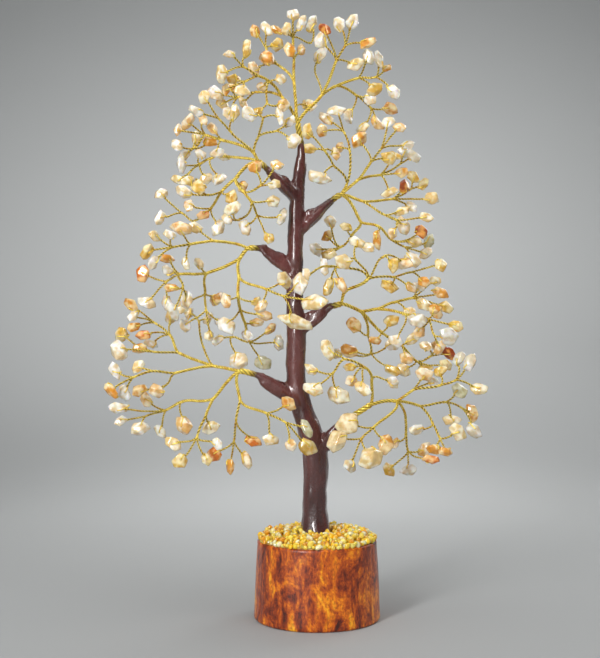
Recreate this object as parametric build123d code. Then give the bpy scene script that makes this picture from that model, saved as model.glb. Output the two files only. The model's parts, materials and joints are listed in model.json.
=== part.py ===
from build123d import *
import math
import os
import random

import numpy as np

# Gemstone tree ornament: a round wooden base with a bed of small chips, a coated trunk with
# six side stubs, and seven sprays of twisted wire that carry a drilled stone at every tip.
# Millimetres, +Z up, origin in the middle of the base's underside, the front towards -Y.

# Overall size, and the front view that the layout tables are read in
tree_height = 272.5
tree_top_px = 10
base_top_px = 539
base_across_px = 317
view_centre_px = (300, 329)
view_distance = 520.0

# Base, glue bed and gravel
base_foot_diameter = 56.8
base_top_diameter = 54.0
base_height = 35.0
base_edge_round = 1.2
peg_depth = 18.0
glue_margin = 1.5
glue_thickness = 1.2
grain_size = 2.5
grain_height = 2.2
grain_gap = 0.15
grain_spacing_share = 0.6
grain_ring_shares = (0.8, 1.0, 0.45)
grain_height_shares = (0.0, 0.45, 1.0)
grain_ring_corners = (5, 5, 3)

# Trunk: the waist's diameter drives the widths in the table below
trunk_waist_diameter = 11.2
trunk_waist_px = 25
core_diameter = 4.4
core_clearance = 0.1
core_bend_radius = 30.0
stub_rod_diameter = 1.6
stub_rod_gap = 0.4
cup_wall = 0.5
mouth_drop = 0.8

# Wires: a twig is a twisted pair, and a thicker run carries the twigs beyond it
twig_diameter = 1.0
strand_packing_share = 0.18
bundle_girth_share = 1.5
wire_gap = 0.05
ball_share = 1.08
cup_clearance = 0.08

# Stones: flat chips, whose common length drives the sizes in the tables below
stone_length = 6.3
stone_length_px = 14
stone_thickness_shares = (0.42, 0.56)
stone_girth_share = 1.5
stone_corner_share = 0.26
stone_corners = 12
stone_tilt_angle = 24.0
stone_lean_share = 0.7
hole_clearance = 0.08
hole_past_centre = 0.5
hole_end_gap = 0.15

# Room between neighbours, at rest and over the swing of each spray
stone_room = 0.3
twig_shown = 1.6
swing_angle = 10.0
swing_steps = (-1.0, -0.5, 0.0, 0.5, 1.0)
depth_step_px = 5
depth_tries = 25
cut_overrun = 2.0

# Trunk stations from the foot to the tip: centre across, down, and width
trunk_px = (
    (316, 539, 36),
    (315.6, 530, 31),
    (315, 518, 27),
    (314.7, 500, 24.5),
    (316, 470, 25),
    (314, 446, 25),
    (306, 420, 22.5),
    (299, 398, 21),
    (295.5, 368, 20),
    (296.5, 335, 20),
    (294.8, 298, 17.5),
    (295, 255, 16.5),
    (296.3, 215, 15.5),
    (298.5, 182, 13.5),
    (301, 158, 11.5),
    (301.5, 146, 10),
)
core_top_px = 215
stub_along_shares = (0.0, 0.35, 0.7)
stub_girth_shares = (1.05, 1.04, 0.9)
stub_guard_share = 0.75

# Each stub's root on the trunk, its mouth and its width in the middle, with depth last
stubs_px = {
    "upper_left": ((296, 198, 0), (267, 169, -6), 13),
    "upper_right": ((298, 231, 0), (330, 202, 6), 13),
    "middle_left": ((294, 273, 0), (260, 248, -6), 13),
    "middle_right": ((298, 331, 0), (330, 307, -4), 13.5),
    "lower_left": ((296, 400, 0), (257, 375, -8), 14.5),
    "lower_right": ((313, 456, 0), (347, 419, -8), 15.5),
}

# Sprays. A row is a fork's name, the fork that it grows from, its place across, down and in
# depth (towards the back), and its stones across, down, in length, in width and in the angle of
# their long side. A limb of a spray is the set of forks that share a first letter.
limbs = {
    "crown": {"A": "top", "B": "right", "C": "left"},
    "upper_left": {"A": "high", "B": "outer", "D": "outer", "C": "inner"},
    "upper_right": {"A": "high", "B": "outer", "C": "outer", "D": "outer", "E": "outer", "F": "low"},
    "middle_left": {"A": "outer", "B": "low", "D": "low", "C": "inner"},
    "middle_right": {"A": "high", "B": "outer", "C": "low"},
    "lower_left": {"A": "outer", "B": "low", "C": "inner"},
    "lower_right": {"A": "high", "B": "outer", "C": "outer", "D": "low", "E": "low"},
}
bundle_end_px = {
    "crown": (298, 124, 0),
    "upper_left": (259, 162, -8),
    "upper_right": (340, 195, 8),
    "middle_left": (249, 248, -8),
    "middle_right": (340, 304, -5),
    "lower_left": (240, 371, -11),
    "lower_right": (370, 405, -12),
}
sprays_px = {
    "crown": (
        ("A0", "bundle", (296, 108, -3), ((309, 105, 14, 11, -30),)),
        ("A1", "A0", (294, 82, -5), ()),
        ("A2", "A1", (277, 64, 16), ((267, 58, 15, 13, -20), (254, 69, 16, 12, -50))),
        ("A3", "A1", (294, 60, -8), ((289, 50, 14, 11, 90), (301, 50, 14, 9, 100))),
        ("A4", "A3", (293, 38, -4), ((293, 15, 13, 10, 5), (287, 29, 12, 9, 60), (302, 23, 15, 9, 78),
                                     (276, 30, 13, 7, -30))),
        ("A5", "A4", (311, 43, 10), ((312, 24, 17, 11, 85),)),
        ("A6", "A2", (266, 48, 28), ((255, 31, 14, 10, 100), (267, 29, 18, 9, -42), (277, 45, 14, 12, 80))),
        ("B1", "bundle", (321, 96, 6), ()),
        ("B2", "B1", (336, 61, -10), ((321, 39, 18, 15, 60), (356, 65, 18, 11, 20), (325, 29, 16, 8, -35))),
        ("B3", "B2", (345, 46, -18), ((341, 25, 17, 12, -55), (353, 22, 16, 11, 56), (368, 43, 16, 10, 14))),
        ("B4", "B1", (315, 68, 24), ((320, 55, 18, 12, 40),)),
        ("B5", "B1", (336, 86, 14), ()),
        ("B6", "B5", (358, 78, 10), ((368, 57, 16, 12, -60), (375, 89, 17, 12, 15))),
        ("B7", "B6", (376, 77, -4), ((379, 60, 18, 8, 100), (387, 68, 11, 7, 45), (394, 92, 15, 11, -60))),
        ("B8", "B5", (356, 95, 28), ((350, 116, 16, 13, -45), (370, 99, 14, 11, -50))),
        ("B9", "B8", (371, 108, 40), ((391, 109, 17, 12, -30), (378, 123, 17, 12, -50),
                                      (363, 128, 16, 12, -15))),
        ("C1", "bundle", (282, 97, 8), ()),
        ("C2", "C1", (270, 82, -6), ((262, 87, 12, 8, -20), (281, 79, 13, 9, 30))),
        ("C3", "C2", (259, 76, -16), ()),
        ("C4", "C3", (244, 67, -24), ((245, 49, 20, 11, 95), (229, 54, 12, 7, -5), (222, 74, 18, 11, 75))),
        ("C5", "C3", (246, 81, -8), ((234, 79, 17, 9, 5), (243, 91, 16, 11, -10), (226, 89, 12, 8, 60))),
        ("C6", "C2", (267, 103, -14), ((283, 105, 15, 11, 40), (260, 111, 13, 8, 0))),
        ("C7", "C1", (256, 92, 26), ((243, 103, 15, 8, -75),)),
        ("C8", "C7", (238, 97, 36), ((216, 93, 17, 13, -25), (223, 104, 16, 10, -50), (229, 114, 15, 12, 90),
                                     (231, 87, 12, 8, 30))),
    ),
    "upper_left": (
        ("A1", "bundle", (254, 153, -12), ()),
        ("A2", "A1", (258, 137, -20), ()),
        ("A3", "A2", (276, 131, -30), ((289, 122, 14, 9, 30), (293, 141, 15, 12, 60))),
        ("A4", "A2", (263, 118, -38), ((280, 116, 17, 7, -75), (248, 114, 16, 12, -60))),
        ("A5", "A1", (230, 131, -24), ((235, 113, 16, 9, 80),)),
        ("A6", "A5", (219, 119, -34), ((204, 97, 13, 11, 60), (196, 111, 14, 9, -30))),
        ("A7", "A1", (222, 140, 2), ((213, 129, 14, 9, -40), (217, 153, 14, 8, 10))),
        ("A8", "A7", (206, 135, 14), ((188, 122, 20, 9, 58), (178, 130, 12, 8, 70), (202, 118, 16, 8, -55))),
        ("A9", "A8", (194, 148, 26), ((177, 145, 15, 10, -50), (210, 142, 15, 11, -15), (184, 156, 14, 9, 20),
                                      (196, 138, 14, 9, 85))),
        ("B1", "bundle", (236, 178, -14), ((243, 187, 12, 8, 80),)),
        ("B2", "B1", (222, 191, -6), ((232, 196, 14, 11, 80),)),
        ("B3", "B2", (207, 195, -20), ((199, 187, 14, 12, 70), (183, 192, 17, 11, -35),
                                       (187, 181, 15, 9, 20))),
        ("B4", "B2", (211, 208, 14), ((188, 206, 16, 10, -60), (203, 215, 13, 9, 20),
                                      (218, 228, 17, 12, 70))),
        ("B5", "B4", (194, 221, 28), ()),
        ("B6", "B5", (182, 213, 38), ((161, 194, 14, 11, 30), (160, 218, 15, 9, 60))),
        ("C1", "B1", (244, 192, -26), ()),
        ("C2", "C1", (251, 201, -32), ((273, 201, 15, 11, -10),)),
        ("C3", "C2", (257, 215, -14), ((282, 217, 18, 9, 80), (268, 238, 13, 10, -20),
                                       (245, 228, 16, 10, -60))),
        ("C4", "C1", (260, 186, -36), ((274, 184, 13, 9, 20), (277, 165, 13, 10, -30),
                                       (256, 167, 14, 11, 30))),
        ("C5", "C2", (239, 220, -8), ((232, 208, 17, 11, 20), (227, 219, 12, 9, -30))),
        ("D1", "bundle", (233, 157, 12), ((223, 157, 14, 7, -20),)),
        ("D2", "D1", (211, 158, 24), ((219, 179, 15, 12, -15),)),
        ("D3", "D2", (200, 164, 36), ((200, 154, 12, 9, -30), (181, 164, 17, 9, 85), (206, 179, 14, 10, 30))),
        ("D4", "D3", (189, 173, 48), ((178, 180, 15, 9, -15), (195, 185, 13, 9, 40))),
    ),
    "upper_right": (
        ("A1", "bundle", (347, 184, 8), ()),
        ("A2", "A1", (334, 166, -8), ((320, 178, 24, 11, -20),)),
        ("A3", "A2", (325, 151, -18), ((310, 149, 13, 10, -20), (335, 153, 14, 8, -60),
                                       (308, 131, 15, 10, 85))),
        ("A4", "A1", (350, 151, 14), ((340, 147, 11, 8, 60),)),
        ("A5", "A4", (344, 132, 22), ((322, 131, 15, 10, 75), (326, 118, 16, 10, -40),
                                      (337, 111, 20, 10, 6))),
        ("B1", "bundle", (358, 180, -6), ()),
        ("B2", "B1", (371, 162, -18), ((359, 140, 18, 13, 45), (388, 157, 15, 12, -20))),
        ("B3", "B2", (381, 149, -32), ((388, 122, 15, 11, 50), (399, 128, 13, 9, -20),
                                       (407, 145, 14, 8, -15))),
        ("C1", "B1", (380, 175, 6), ((401, 173, 13, 10, 15), (395, 155, 14, 9, -40), (390, 192, 20, 8, 30))),
        ("C2", "C1", (400, 164, 20), ((404, 152, 14, 9, -30), (413, 156, 15, 10, -35))),
        ("D1", "bundle", (362, 201, 12), ()),
        ("D2", "D1", (392, 199, 26), ((405, 187, 15, 13, -30), (432, 198, 14, 12, -10),
                                      (410, 206, 18, 10, -35))),
        ("D3", "D2", (411, 189, 40), ((413, 177, 15, 11, -60), (424, 184, 13, 9, 60))),
        ("E1", "D1", (385, 215, -8), ((402, 211, 14, 9, 20), (404, 225, 19, 12, -70))),
        ("E2", "E1", (397, 220, -24), ((426, 217, 15, 8, -20), (394, 234, 14, 9, -60))),
        ("F1", "bundle", (361, 222, 20), ()),
        ("F2", "F1", (352, 235, 32), ((346, 227, 13, 8, -5), (367, 247, 18, 10, -20))),
        ("F3", "F2", (341, 247, 44), ((330, 222, 14, 11, -30), (327, 236, 13, 9, 50), (316, 249, 16, 12, -30),
                                      (329, 254, 15, 10, 10))),
        ("F4", "F1", (378, 226, 14), ((377, 241, 20, 8, -78),)),
        ("F5", "F4", (392, 240, 22), ((421, 231, 13, 11, -50), (414, 242, 16, 10, 0))),
        ("F6", "F5", (405, 247, 34), ((429, 241, 15, 11, 70), (413, 259, 17, 11, -40),
                                      (425, 253, 15, 10, 30))),
    ),
    "middle_left": (
        ("A1", "bundle", (237, 244, -10), ()),
        ("A2", "A1", (215, 241, -18), ((195, 228, 14, 10, -20),)),
        ("A3", "A2", (191, 244, -26), ((180, 228, 21, 12, -5), (185, 263, 13, 7, -75))),
        ("A4", "A3", (173, 247, -34), ((155, 236, 13, 9, -25), (147, 251, 16, 11, 60), (153, 263, 17, 9, 55),
                                       (170, 235, 13, 8, -20))),
        ("B1", "bundle", (240, 258, -4), ()),
        ("B2", "B1", (207, 273, 4), ((199, 263, 13, 9, -20),)),
        ("B3", "B2", (180, 274, 2), ((168, 259, 14, 9, -15), (168, 270, 13, 10, -40))),
        ("B4", "B3", (167, 281, 14), ((142, 273, 17, 14, 80), (147, 302, 19, 11, -20),
                                      (167, 303, 18, 10, -60))),
        ("B5", "B3", (183, 287, -16), ((187, 300, 17, 11, 85), (174, 312, 20, 9, -70),
                                       (171, 288, 14, 8, -10))),
        ("C1", "B1", (239, 277, -18), ()),
        ("C2", "C1", (238, 296, -28), ((226, 300, 15, 9, -70), (256, 302, 11, 8, 20))),
        ("C3", "C2", (240, 309, -18), ((226, 326, 19, 14, -35), (265, 316, 15, 11, -20))),
        ("C4", "C3", (245, 323, -6), ((257, 322, 14, 8, 10), (248, 336, 13, 10, -20))),
        ("C5", "C1", (266, 289, -34), ((284, 280, 20, 12, -48), (261, 306, 14, 10, 30))),
        ("C6", "C5", (283, 296, -46), ((301, 284, 21, 14, -75), (316, 302, 26, 14, -8),
                                       (294, 322, 36, 13, -23))),
        ("C7", "C4", (249, 341, 6), ((279, 343, 18, 10, 75), (263, 363, 17, 15, -10), (270, 329, 16, 8, 35))),
        ("C8", "C7", (231, 337, 18), ((239, 361, 23, 16, -10), (217, 340, 12, 9, 30))),
        ("D1", "B2", (205, 293, 22), ((216, 297, 20, 13, -75),)),
        ("D2", "D1", (194, 299, 34), ((184, 306, 17, 11, 50),)),
        ("D3", "D1", (206, 310, -2), ((185, 325, 15, 10, -80), (211, 337, 13, 12, 0),
                                      (222, 324, 15, 9, -20))),
    ),
    "middle_right": (
        ("A1", "bundle", (344, 293, -10), ()),
        ("A2", "A1", (368, 279, -18), ()),
        ("A3", "A2", (384, 256, -34), ((393, 266, 14, 10, 80), (405, 263, 19, 12, -30))),
        ("A4", "A2", (355, 259, -30), ((343, 261, 17, 13, -40), (357, 242, 15, 9, -20))),
        ("A5", "A2", (338, 267, -18), ((324, 267, 16, 8, -80), (308, 275, 14, 9, -70), (329, 287, 18, 11, 60),
                                       (341, 285, 16, 10, -60))),
        ("A6", "A2", (394, 277, -6), ((390, 287, 18, 11, -15), (411, 288, 12, 8, -40))),
        ("A7", "A6", (412, 272, 4), ((441, 265, 15, 12, 50), (424, 282, 12, 10, 0))),
        ("B1", "bundle", (360, 311, 6), ()),
        ("B2", "B1", (376, 309, 10), ()),
        ("B3", "B2", (396, 302, 18), ((408, 312, 14, 10, 20),)),
        ("B4", "B3", (412, 298, 26), ((418, 287, 14, 9, -10), (441, 293, 18, 10, -10),
                                      (423, 305, 15, 11, -40),
                                      (435, 281, 12, 9, -20))),
        ("B5", "B4", (432, 303, 36), ((446, 307, 15, 11, -30), (437, 314, 13, 10, 0))),
        ("B6", "B2", (405, 314, -4), ((417, 320, 19, 13, -10), (396, 340, 14, 11, -20))),
        ("B7", "B6", (428, 319, -16), ((435, 309, 13, 10, 0), (456, 326, 14, 11, -30),
                                       (420, 331, 16, 11, 60))),
        ("B8", "B7", (434, 335, -26), ((448, 336, 20, 15, -50), (440, 347, 14, 10, 80))),
        ("C1", "B1", (381, 332, 20), ((375, 340, 13, 8, -10), (391, 321, 16, 11, 0))),
        ("C2", "C1", (401, 345, 30), ((406, 358, 16, 11, -20), (413, 339, 17, 11, 30))),
        ("C3", "C2", (416, 361, 40), ((426, 369, 15, 10, 0), (446, 365, 18, 11, -20),
                                      (404, 370, 16, 12, -40))),
        ("C4", "C3", (431, 356, 28), ((449, 353, 17, 10, -40), (437, 345, 14, 9, 30),
                                      (426, 346, 13, 9, -20))),
        ("C5", "B1", (368, 335, 26), ((354, 325, 16, 13, -30),)),
        ("C6", "C5", (371, 353, 38), ((349, 351, 18, 14, -40), (338, 353, 13, 9, 70), (392, 345, 14, 10, -20),
                                      (393, 370, 17, 10, -20))),
    ),
    "lower_left": (
        ("A1", "bundle", (214, 366, 2), ()),
        ("A2", "A1", (203, 346, 16), ()),
        ("A3", "A2", (199, 322, 28), ((189, 312, 13, 9, 30), (208, 318, 13, 9, 60))),
        ("A4", "A1", (179, 353, 10), ()),
        ("A5", "A4", (170, 335, 22), ((171, 318, 16, 10, 70), (143, 335, 15, 9, -5), (151, 344, 14, 9, -20))),
        ("A6", "A5", (155, 323, 34), ((131, 305, 17, 12, -35), (134, 327, 14, 9, 20), (133, 316, 13, 9, 60))),
        ("A7", "A4", (155, 352, -2), ((140, 348, 15, 10, 10), (122, 334, 19, 13, 50),
                                      (119, 350, 19, 15, -60))),
        ("A8", "A1", (175, 373, -8), ()),
        ("A9", "A8", (154, 371, -18), ((138, 367, 15, 10, 50),)),
        ("A10", "A9", (134, 377, -28), ((115, 371, 18, 10, -70), (111, 391, 17, 10, -50),
                                        (124, 393, 15, 11, -60))),
        ("A11", "A8", (166, 385, 6), ((157, 391, 15, 12, -40), (139, 390, 15, 11, 30))),
        ("B1", "bundle", (228, 381, -10), ()),
        ("B2", "B1", (214, 398, -12), ()),
        ("B3", "B2", (181, 402, 4), ((183, 425, 20, 14, -50),)),
        ("B4", "B3", (166, 410, 14), ((146, 400, 17, 12, -50), (118, 408, 19, 11, -10),
                                      (161, 432, 16, 9, -50))),
        ("B5", "B4", (146, 416, 28), ((121, 421, 14, 10, 25), (140, 428, 19, 13, 20))),
        ("B6", "B2", (206, 415, -22), ((211, 428, 17, 12, 10),)),
        ("B7", "B6", (197, 437, -30), ((173, 443, 18, 11, -35), (180, 462, 14, 13, 45),
                                       (206, 459, 13, 9, -50),
                                       (217, 443, 14, 9, -60))),
        ("C1", "bundle", (240, 400, -16), ()),
        ("C2", "C1", (236, 421, -22), ((254, 441, 17, 11, -20),)),
        ("C3", "C2", (234, 441, -10), ((214, 454, 15, 13, -10), (230, 466, 15, 11, 60),
                                       (247, 460, 17, 10, -55))),
        ("C4", "C1", (266, 413, -32), ((289, 403, 17, 11, -40), (270, 440, 16, 11, -15))),
        ("C5", "C4", (285, 422, -44), ((291, 445, 13, 11, 0), (307, 428, 18, 10, -70),
                                       (308, 448, 19, 14, -30))),
    ),
    "lower_right": (
        ("A1", "bundle", (372, 378, -22), ((393, 382, 17, 11, 75),)),
        ("A2", "A1", (364, 367, -32), ((349, 367, 13, 8, 0), (363, 389, 18, 10, -35), (351, 381, 12, 10, 0))),
        ("A3", "A2", (345, 359, -40), ((328, 350, 20, 13, -60),)),
        ("A4", "A3", (333, 373, -32), ((310, 369, 14, 9, -45), (313, 389, 19, 13, -10),
                                       (339, 396, 22, 16, -30))),
        ("B0", "bundle", (396, 401, -10), ()),
        ("B1", "B0", (413, 390, -18), ((424, 374, 17, 11, -10), (433, 382, 14, 9, -30))),
        ("B2", "B1", (441, 385, -26), ((441, 371, 14, 9, 30),)),
        ("B3", "B2", (456, 380, -34), ((459, 359, 14, 10, 60), (470, 362, 17, 10, 70),
                                       (479, 389, 16, 11, -10))),
        ("C1", "B0", (420, 406, 4), ()),
        ("C2", "C1", (446, 402, 14), ((452, 420, 19, 10, -5), (459, 391, 16, 12, -40))),
        ("C3", "C2", (462, 408, 24), ((472, 413, 19, 11, -70), (474, 431, 17, 13, -30))),
        ("C4", "C1", (433, 424, -8), ((417, 430, 19, 10, -5),)),
        ("C5", "C4", (440, 438, -18), ((458, 432, 18, 13, -50), (434, 450, 15, 10, -10),
                                       (446, 452, 14, 9, -20))),
        ("D1", "B0", (406, 436, 14), ((395, 444, 13, 9, 30),)),
        ("D2", "D1", (408, 451, 24), ((389, 470, 16, 10, -60), (408, 470, 16, 11, -15),
                                      (425, 449, 18, 12, 30),
                                      (431, 459, 18, 9, 0))),
        ("E1", "B0", (374, 427, -26), ((349, 424, 24, 20, 60), (386, 445, 19, 14, 80))),
        ("E2", "E1", (362, 438, -38), ((337, 440, 21, 17, 50), (350, 465, 16, 11, -20),
                                       (371, 459, 25, 19, 15))),
    ),
}

# Sizes that follow from the ones above
pixel = (tree_height - base_height) / (base_top_px - tree_top_px)
trunk_pixel = trunk_waist_diameter / trunk_waist_px
stone_pixel = stone_length / stone_length_px
twig_radius = twig_diameter / 2
chance = random.Random(11)


def place(across, down, depth):
    """A point of the front view, moved to its depth along the line of sight."""
    depth = depth * pixel
    spread = pixel * (1 + depth / view_distance)
    x = (view_centre_px[0] - base_across_px) * pixel + (across - view_centre_px[0]) * spread
    z = (base_top_px - view_centre_px[1]) * pixel + (view_centre_px[1] - down) * spread
    return np.array((x, depth, base_height + z))


def unit(v):
    return v / np.linalg.norm(v)


def run_radius(stones):
    """The radius of a run that carries this many twigs."""
    return twig_radius * stones ** strand_packing_share


def bundle_radius(spray):
    return run_radius(stones_beyond[spray, "bundle"]) * bundle_girth_share


class Rods:
    """Straight rods with round ends, kept at every step of their spray's swing."""

    def __init__(self):
        self.starts = np.zeros((0, len(swing_steps), 3))
        self.ends = np.zeros((0, len(swing_steps), 3))
        self.radii = np.zeros(0)
        self.sprays = np.zeros(0, dtype=int)
        self.joints = []

    def add(self, start, end, radius, spray, joints):
        self.starts = np.concatenate([self.starts, swung(start, spray)[None]])
        self.ends = np.concatenate([self.ends, swung(end, spray)[None]])
        self.radii = np.append(self.radii, radius)
        self.sprays = np.append(self.sprays, spray)
        self.joints.append(joints)


def swung(point, spray):
    """A point of a spray at each step of its swing."""
    if spray < 0:
        return np.repeat(point[None], len(swing_steps), axis=0)
    pivot = pivots[spray]
    along, across = (1, 2) if spray == crown_index else (0, 1)
    places = []
    for step in swing_steps:
        turn = math.radians(swing_angle) * step
        arm = point - pivot
        turned = arm.copy()
        turned[along] = arm[along] * math.cos(turn) - arm[across] * math.sin(turn)
        turned[across] = arm[along] * math.sin(turn) + arm[across] * math.cos(turn)
        places.append(pivot + turned)
    return np.array(places)


def rod_distance(a, b, starts, ends):
    """The distance from one rod's axis to each of many."""
    d1 = b - a
    d2 = ends - starts
    r = a - starts
    l1 = d1 @ d1
    l2 = np.einsum("ij,ij->i", d2, d2)
    f = np.einsum("ij,ij->i", d2, r)
    c = r @ d1
    m = d2 @ d1
    spread = l1 * l2 - m * m
    s = np.clip(np.where(spread > 0, (m * f - c * l2) / np.where(spread > 0, spread, 1), 0), 0, 1)
    t = np.clip(np.where(l2 > 0, (m * s + f) / np.where(l2 > 0, l2, 1), 0), 0, 1)
    s = np.clip((m * t - c) / l1, 0, 1) if l1 > 0 else s * 0
    t = np.clip(np.where(l2 > 0, (m * s + f) / np.where(l2 > 0, l2, 1), 0), 0, 1)
    return np.linalg.norm(r + s[:, None] * d1 - t[:, None] * d2, axis=1)


rest_step = swing_steps.index(0.0)
swing_pairs = [(step, rest_step) for step in range(len(swing_steps))]
swing_pairs += [(rest_step, step) for step in range(len(swing_steps)) if step != rest_step]
swing_pairs += [(0, 0), (len(swing_steps) - 1, len(swing_steps) - 1)]


def least_room(rods, start, end, radius, spray, joints):
    """The least gap between a new rod and the ones in place, over the swings of both."""
    here = np.array([bool(set(other) & set(joints)) for other in rods.joints], dtype=bool)
    same = (rods.sprays == spray) & ~here
    other = (rods.sprays != spray) & ~here
    starts = swung(start, spray)
    ends = swung(end, spray)
    least = math.inf
    if same.any():
        gap = rod_distance(start, end, rods.starts[same, rest_step], rods.ends[same, rest_step])
        least = min(least, (gap - rods.radii[same]).min())
    if other.any():
        for mine, theirs in swing_pairs:
            gap = rod_distance(starts[mine], ends[mine], rods.starts[other, theirs], rods.ends[other, theirs])
            least = min(least, (gap - rods.radii[other]).min())
    return least - radius


def set_back(direction, radius, neighbours):
    """How far from a fork a rod starts so that it clears the rods that are there already."""
    back = 0.0
    for other, other_radius in neighbours:
        cosine = float(np.clip(direction @ other, -1, 1))
        sine = max(math.sqrt(1 - cosine * cosine), 1e-6)
        beside = (other_radius + radius * abs(cosine)) / sine
        beyond = radius * sine / -cosine if cosine < 0 else math.inf
        back = max(back, min(beside, beyond))
    return back + wire_gap


def stone_corner_points(length, width, angle):
    """Corners of a flat chip about its middle, with its long side at an angle in the front view."""
    thickness = min(length, width * stone_girth_share) * chance.uniform(*stone_thickness_shares)
    half = np.array((length, width, thickness)) / 2
    turn = chance.uniform(0, 2 * math.pi)
    points = []
    for k in range(stone_corners):
        height = 1 - 2 * (k + 0.5) / stone_corners
        ring = math.sqrt(1 - height * height)
        around = turn + k * math.pi * (3 - math.sqrt(5))
        point = np.array((ring * math.cos(around), ring * math.sin(around), height))
        points.append(point * (1 - chance.uniform(0, stone_corner_share)))
    points = np.array(points)
    points = (2 * points - points.max(0) - points.min(0)) / (points.max(0) - points.min(0)) * half
    tilt = math.radians(stone_tilt_angle)
    thin = unit(np.array((chance.gauss(0, tilt), -1, chance.gauss(0, tilt))))
    long = np.array((math.cos(math.radians(angle)), 0, math.sin(math.radians(angle))))
    long = unit(long - (long @ thin) * thin)
    return points @ np.array((long, np.cross(thin, long), thin))


# Mouths, pivots and the count of stones beyond every fork
spray_names = list(sprays_px)
crown_index = spray_names.index("crown")
mouth_px = {"crown": (trunk_px[-1][0], trunk_px[-1][1], 0)}
mouth_px.update({name: mouth for name, (root, mouth, width) in stubs_px.items()})
pivots = [place(*mouth_px[name]) for name in spray_names]
stones_beyond = {}
for spray, rows in sprays_px.items():
    stones_beyond[spray, "bundle"] = sum(len(stones) for *_, stones in rows)
    parents = {fork: parent for fork, parent, *_ in rows}
    for fork, *_ in rows:
        stones_beyond[spray, fork] = 0
    for fork, parent, spot, stones in rows:
        while fork != "bundle":
            stones_beyond[spray, fork] += len(stones)
            fork = parents[fork]

# The layout: every run and stone takes the first clear depth near the one in the table
rods = Rods()
trunk_points = [place(across, down, 0) for across, down, width in trunk_px]
for k in range(len(trunk_px) - 2):
    radius = trunk_px[k][2] / 2 * trunk_pixel
    rods.add(trunk_points[k], trunk_points[k + 1], radius, -1, ["trunk"])
for name, (root, mouth, width) in stubs_px.items():
    near_mouth = place(*root) + (place(*mouth) - place(*root)) * stub_guard_share
    rods.add(place(*root), near_mouth, width / 2 * trunk_pixel, -1, ["trunk"])


def tried_depths(depth):
    """The depths to try, the table's own first."""
    for k in range(depth_tries):
        yield depth + (k + 1) // 2 * (-1) ** k * depth_step_px


forks = {}
wires = []
for spray in spray_names:
    index = spray_names.index(spray)
    forks[spray, "bundle"] = place(*bundle_end_px[spray])
    radius = bundle_radius(spray)
    rods.add(pivots[index], forks[spray, "bundle"], radius, index, [(spray, "bundle"), "trunk"])
for spray, rows in sprays_px.items():
    index = spray_names.index(spray)
    for fork, parent, (across, down, depth), stones in rows:
        radius = run_radius(stones_beyond[spray, fork])
        joints = [(spray, parent), (spray, fork)]
        best = None
        for tried in tried_depths(depth):
            end = place(across, down, tried)
            room = least_room(rods, forks[spray, parent], end, radius, index, joints)
            if best is None or room > best[0]:
                best = (room, end)
            if room >= stone_room:
                break
        if best[0] < stone_room:
            print("tight run", spray, fork, round(best[0], 2))
        forks[spray, fork] = best[1]
        rods.add(forks[spray, parent], best[1], radius, index, joints)
        wires.append((spray, fork, parent, radius))

# Directions of the rods that meet at each fork, thickest first, for the starts of the rest
meeting = {}
starts = {}
for spray in spray_names:
    pivot = pivots[spray_names.index(spray)]
    end = forks[spray, "bundle"]
    radius = bundle_radius(spray)
    meeting[spray, "bundle"] = [(unit(pivot - end), radius)]
for spray, fork, parent, radius in wires:
    back = unit(forks[spray, parent] - forks[spray, fork])
    meeting[spray, fork] = [(back, radius)]
for spray, fork, parent, radius in sorted(wires, key=lambda wire: -wire[3]):
    direction = unit(forks[spray, fork] - forks[spray, parent])
    starts[spray, fork] = set_back(direction, radius, meeting[spray, parent])
    meeting[spray, parent].append((direction, radius))

chips = []
for spray, rows in sprays_px.items():
    index = spray_names.index(spray)
    for fork, parent, (across, down, depth), stones in rows:
        root = forks[spray, fork]
        for number, (stone_across, stone_down, length, width, angle) in enumerate(stones):
            corners = stone_corner_points(length * stone_pixel, width * stone_pixel, angle)
            size = np.linalg.norm(corners, axis=1).max()
            reach = math.hypot(stone_across - across, stone_down - down)
            lean = root[1] / pixel + reach * chance.uniform(-stone_lean_share, stone_lean_share)
            best = None
            for tried in tried_depths(lean):
                middle = place(stone_across, stone_down, tried)
                twig = unit(middle - root)
                back = set_back(twig, twig_radius, meeting[spray, fork])
                shown = np.linalg.norm(middle - root) - size - back - twig_shown
                stone_gap = least_room(rods, middle, middle, size, index, []) - stone_room
                twig_gap = least_room(rods, root, middle, twig_radius, index, [(spray, fork)]) - stone_room
                room = min(shown, stone_gap, twig_gap)
                if best is None or room > best[0]:
                    best = (room, middle, back)
                if room >= 0:
                    break
            room, middle, back = best
            if room < 0:
                print("tight stone", spray, fork, number, round(room, 2))
            rods.add(root, middle, twig_radius, index, [(spray, fork)])
            rods.add(middle, middle, size, index, [])
            meeting[spray, fork].append((unit(middle - root), twig_radius))
            chips.append((spray, fork, root, middle, back, corners))


def rod(start, end, radius):
    """A straight round rod between two points."""
    axis = end - start
    length = float(np.linalg.norm(axis))
    seat = Plane(origin=tuple(start), z_dir=tuple(axis / length))
    return seat * Cylinder(radius, length, align=(Align.CENTER, Align.CENTER, Align.MIN))


def ball(centre, radius):
    return Pos(*centre) * Sphere(radius)


def tapered(stations):
    """A smooth round solid through (centre, direction, radius) stations."""
    sections = []
    for centre, direction, radius in stations:
        sections.append(Plane(origin=tuple(centre), z_dir=tuple(direction)) * Circle(radius))
    return loft(sections)


def save(name, shapes):
    """One node's file, with its solids side by side."""
    solids = [solid for shape in shapes for solid in shape.solids()]
    export_step(solids[0] if len(solids) == 1 else Compound(children=solids), f"parts/{name}.step")


def ball_radius(spray):
    return bundle_radius(spray) * ball_share


def mouth_radius(spray):
    return ball_radius(spray) + cup_clearance + cup_wall


# Wooden base, with a blind hole for the peg at the foot of the wire core
foot_x = trunk_points[0][0]
foot_radius = trunk_px[0][2] / 2 * trunk_pixel


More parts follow.
